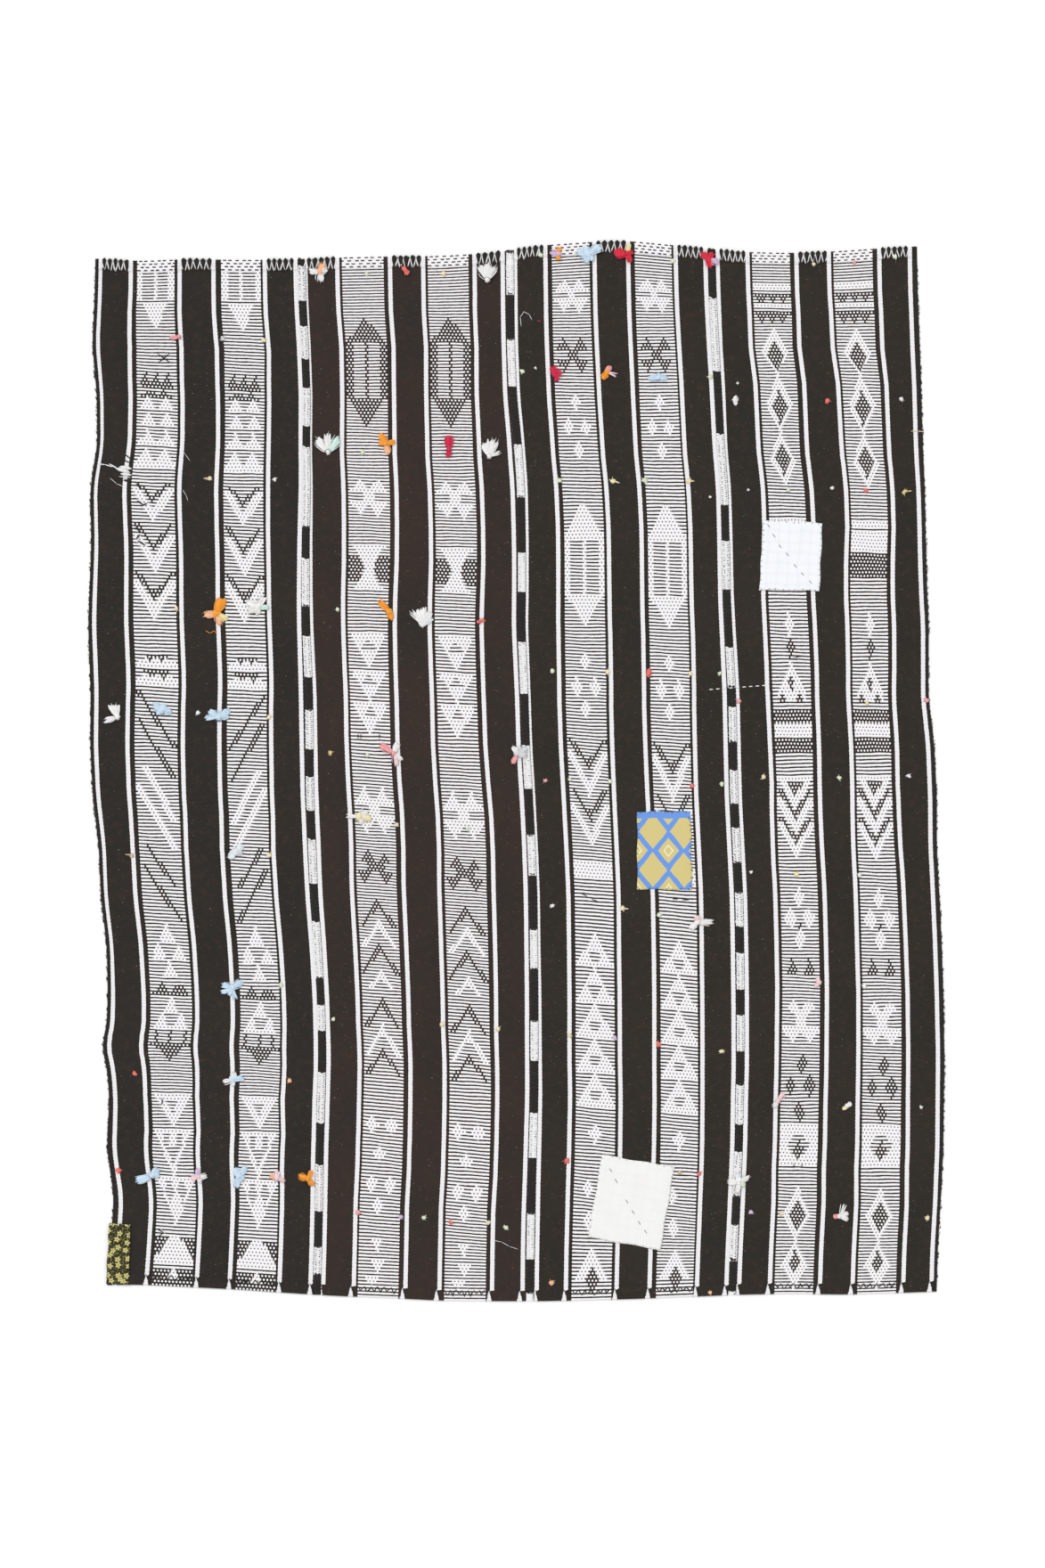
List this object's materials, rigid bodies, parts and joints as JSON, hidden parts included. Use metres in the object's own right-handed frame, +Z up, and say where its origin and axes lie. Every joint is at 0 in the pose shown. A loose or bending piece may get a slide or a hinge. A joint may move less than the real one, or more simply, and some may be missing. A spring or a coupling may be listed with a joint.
{
  "type": "ikat kilim",
  "caption": "Flat-woven wool rug of narrow strips joined side by side, striped and patterned in black and off-white, with cloth mends and coloured yarn tufts.",
  "frame": {"origin": "middle of the rug on its underside, which lies on the floor", "axes": "+X across the strips to the right, +Y along the strips to the far end, +Z up off the floor"},
  "size_m": [1.706, 2.111, 0.0119],
  "materials": {
    "strip_wool": "warp-faced wool, near-black and off-white stripes and pick-up figures",
    "join_yarn": "needle-worked wool in off-white and near-black blocks",
    "edge_yarn": "overcast near-black wool",
    "patch_white": "plain off-white cotton",
    "patch_print": "printed cotton, yellow and blue",
    "patch_grey": "washed off-white cotton",
    "patch_floral": "printed cotton, dark with small pale flowers",
    "tuft_white": "loose off-white yarn",
    "tuft_coral": "loose coral yarn",
    "tuft_orange": "loose orange yarn",
    "tuft_blue": "loose pale blue yarn",
    "tuft_red": "loose red yarn",
    "tuft_pink": "loose pale pink yarn",
    "tuft_cream": "loose cream yarn"
  },
  "bodies": {
    "root": {"panel_1": "strip_wool", "panel_2": "strip_wool", "panel_3": "strip_wool", "panel_4": "strip_wool", "seam_1": "join_yarn", "seam_2": "join_yarn", "seam_3": "join_yarn", "edge_left": "edge_yarn", "edge_right": "edge_yarn", "patch_white": "patch_white", "patch_print": "patch_print", "patch_grey": "patch_grey", "patch_floral": "patch_floral", "tuft_01": "tuft_white", "tuft_02": "tuft_coral", "tuft_03": "tuft_white", "tuft_04": "tuft_orange", "tuft_05": "tuft_blue", "tuft_06": "tuft_red", "tuft_07": "tuft_red", "tuft_08": "tuft_coral", "tuft_09": "tuft_red", "tuft_10": "tuft_orange", "tuft_11": "tuft_blue", "tuft_12": "tuft_white", "tuft_13": "tuft_white", "tuft_14": "tuft_orange", "tuft_15": "tuft_red", "tuft_16": "tuft_white", "tuft_17": "tuft_orange", "tuft_18": "tuft_white", "tuft_19": "tuft_orange", "tuft_20": "tuft_white", "tuft_21": "tuft_coral", "tuft_22": "tuft_white", "tuft_23": "tuft_blue", "tuft_24": "tuft_blue", "tuft_25": "tuft_pink", "tuft_26": "tuft_pink", "tuft_27": "tuft_white", "tuft_28": "tuft_white", "tuft_29": "tuft_blue", "tuft_30": "tuft_pink", "tuft_31": "tuft_pink", "tuft_32": "tuft_white", "tuft_33": "tuft_pink", "tuft_34": "tuft_cream", "tuft_35": "tuft_blue", "tuft_36": "tuft_pink", "tuft_37": "tuft_blue", "tuft_38": "tuft_pink", "tuft_39": "tuft_orange", "tuft_40": "tuft_white", "tuft_41": "tuft_pink", "tuft_42": "tuft_coral"}
  },
  "joints": []
}
